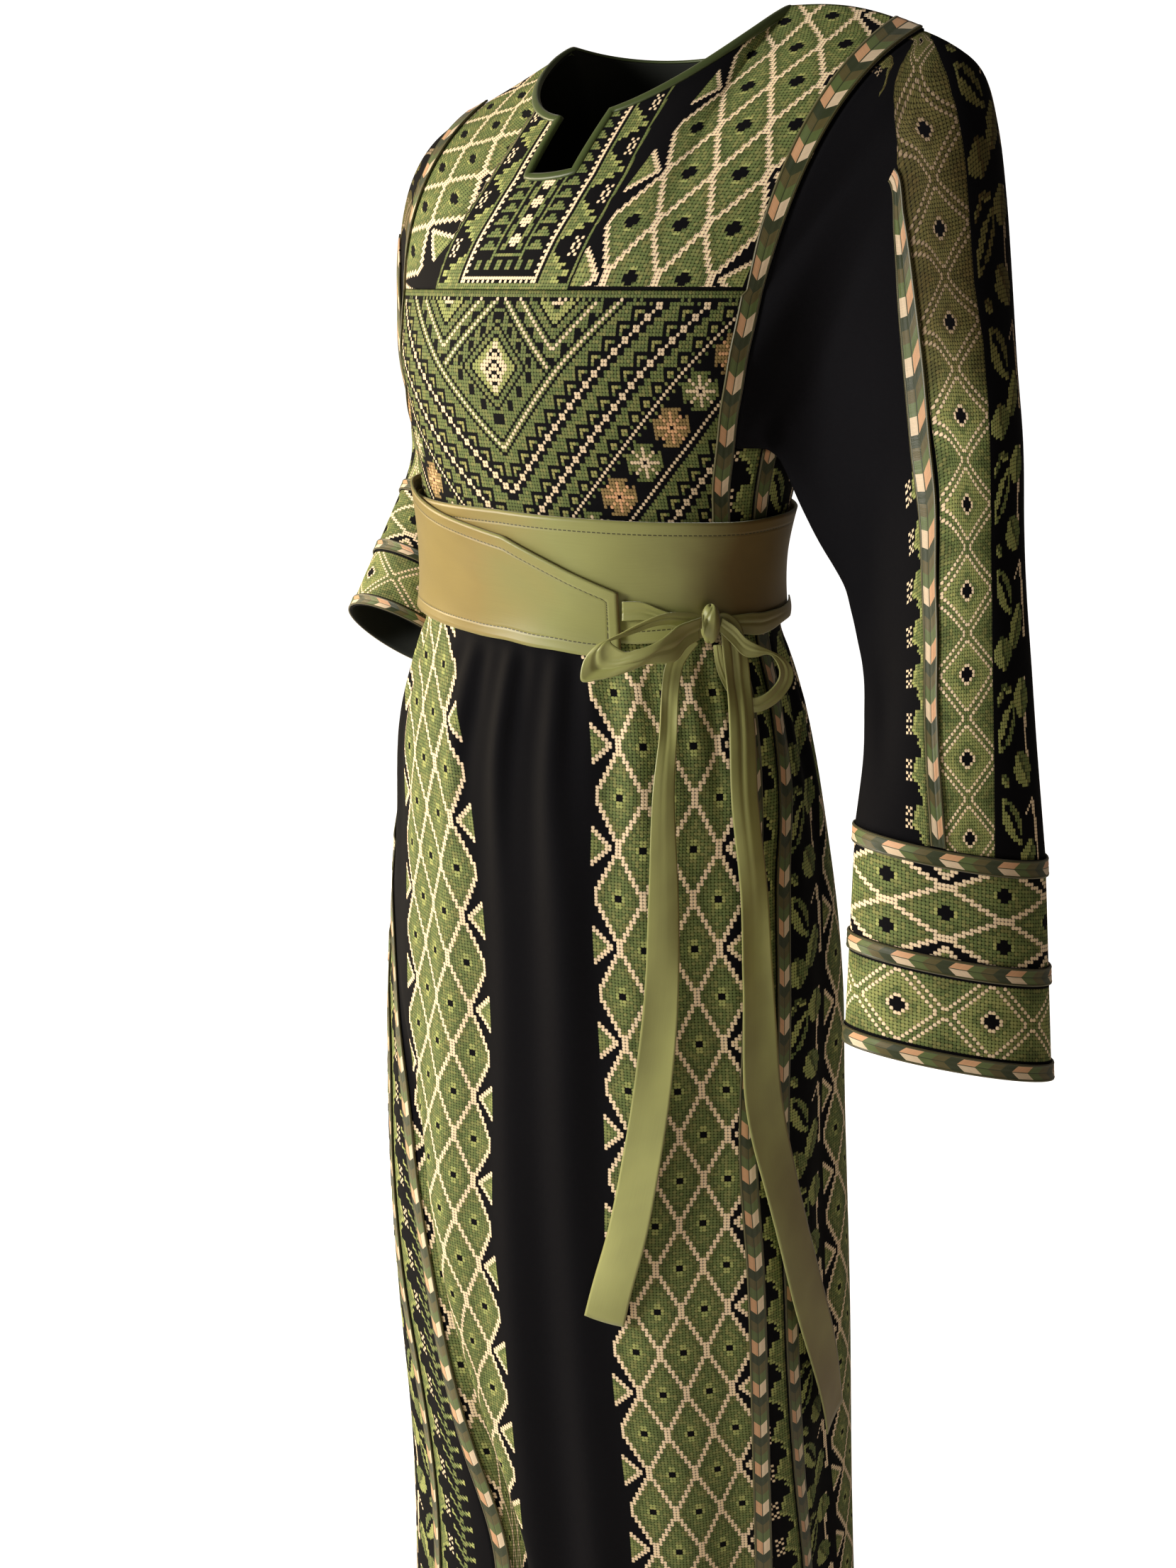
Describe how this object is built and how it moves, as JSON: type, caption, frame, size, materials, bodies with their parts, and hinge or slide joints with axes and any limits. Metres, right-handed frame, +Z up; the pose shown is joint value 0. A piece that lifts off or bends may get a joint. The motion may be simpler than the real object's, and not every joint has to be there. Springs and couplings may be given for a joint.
{
  "type": "embroidered dress",
  "caption": "Ankle-length black cross-stitched thobe dress with a slit neck, wide cuffs, braided seams and a wrapped satin sash belt tied in a bow.",
  "frame": {"origin": "middle of the neck opening, level with the shoulder points beside the neck, where the shoulders carry the dress", "axes": "+X towards the wearer's left, -Y towards the wearer's front, +Z up"},
  "size_m": [0.7099, 0.3582, 1.4283],
  "materials": {
    "back_bodice": "matt black crepe with green and beige cross-stitch",
    "belt": "olive satin with a soft sheen",
    "bodice_gore_left": "matt black crepe with green and beige cross-stitch",
    "bodice_gore_right": "matt black crepe with green and beige cross-stitch",
    "bodice_side_left": "matt black crepe with green and beige cross-stitch",
    "bodice_side_right": "matt black crepe with green and beige cross-stitch",
    "bow_knot": "olive satin with a soft sheen",
    "bow_loop_left": "olive satin with a soft sheen",
    "bow_loop_right": "olive satin with a soft sheen",
    "braid_armhole_left": "satin-stitched braid in greens, tan and peach",
    "braid_armhole_right": "satin-stitched braid in greens, tan and peach",
    "braid_bodice_side_left": "satin-stitched braid in greens, tan and peach",
    "braid_bodice_side_right": "satin-stitched braid in greens, tan and peach",
    "braid_cuff_hem_left": "satin-stitched braid in greens, tan and peach",
    "braid_cuff_hem_right": "satin-stitched braid in greens, tan and peach",
    "braid_cuff_middle_left": "satin-stitched braid in greens, tan and peach",
    "braid_cuff_middle_right": "satin-stitched braid in greens, tan and peach",
    "braid_cuff_upper_left": "satin-stitched braid in greens, tan and peach",
    "braid_cuff_upper_right": "satin-stitched braid in greens, tan and peach",
    "braid_front_skirt_l": "satin-stitched braid in greens, tan and peach",
    "braid_front_skirt_r": "satin-stitched braid in greens, tan and peach",
    "braid_side_left_skirt": "satin-stitched braid in greens, tan and peach",
    "braid_side_right_skirt": "satin-stitched braid in greens, tan and peach",
    "braid_sleeve_left": "satin-stitched braid in greens, tan and peach",
    "braid_sleeve_right": "satin-stitched braid in greens, tan and peach",
    "cuff_left": "matt black crepe with green and beige cross-stitch",
    "cuff_right": "matt black crepe with green and beige cross-stitch",
    "front_chest_panel": "matt black crepe with green and beige cross-stitch",
    "front_yoke": "matt black crepe with green and beige cross-stitch",
    "neck_binding": "green bias binding",
    "skirt_back": "matt black crepe with green and beige cross-stitch",
    "skirt_front": "matt black crepe with green and beige cross-stitch",
    "skirt_gore_left": "matt black crepe with green and beige cross-stitch",
    "skirt_gore_right": "matt black crepe with green and beige cross-stitch",
    "skirt_side_left": "matt black crepe with green and beige cross-stitch",
    "skirt_side_right": "matt black crepe with green and beige cross-stitch",
    "sleeve_left": "matt black crepe with green and beige cross-stitch",
    "sleeve_right": "matt black crepe with green and beige cross-stitch",
    "tie_round": "olive satin with a soft sheen",
    "tie_short": "olive satin with a soft sheen",
    "tie_tail_left": "olive satin with a soft sheen",
    "tie_tail_right": "olive satin with a soft sheen"
  },
  "bodies": {
    "root": {"back_bodice": "back_bodice", "belt": "belt", "bodice_gore_left": "bodice_gore_left", "bodice_gore_right": "bodice_gore_right", "bodice_side_left": "bodice_side_left", "bodice_side_right": "bodice_side_right", "bow_knot": "bow_knot", "bow_loop_left": "bow_loop_left", "bow_loop_right": "bow_loop_right", "braid_armhole_left": "braid_armhole_left", "braid_armhole_right": "braid_armhole_right", "braid_bodice_side_left": "braid_bodice_side_left", "braid_bodice_side_right": "braid_bodice_side_right", "braid_cuff_hem_left": "braid_cuff_hem_left", "braid_cuff_hem_right": "braid_cuff_hem_right", "braid_cuff_middle_left": "braid_cuff_middle_left", "braid_cuff_middle_right": "braid_cuff_middle_right", "braid_cuff_upper_left": "braid_cuff_upper_left", "braid_cuff_upper_right": "braid_cuff_upper_right", "braid_front_skirt_l": "braid_front_skirt_l", "braid_front_skirt_r": "braid_front_skirt_r", "braid_side_left_skirt": "braid_side_left_skirt", "braid_side_right_skirt": "braid_side_right_skirt", "braid_sleeve_left": "braid_sleeve_left", "braid_sleeve_right": "braid_sleeve_right", "cuff_left": "cuff_left", "cuff_right": "cuff_right", "front_chest_panel": "front_chest_panel", "front_yoke": "front_yoke", "neck_binding": "neck_binding", "skirt_back": "skirt_back", "skirt_front": "skirt_front", "skirt_gore_left": "skirt_gore_left", "skirt_gore_right": "skirt_gore_right", "skirt_side_left": "skirt_side_left", "skirt_side_right": "skirt_side_right", "sleeve_left": "sleeve_left", "sleeve_right": "sleeve_right", "tie_round": "tie_round", "tie_short": "tie_short", "tie_tail_left": "tie_tail_left", "tie_tail_right": "tie_tail_right"}
  },
  "joints": []
}
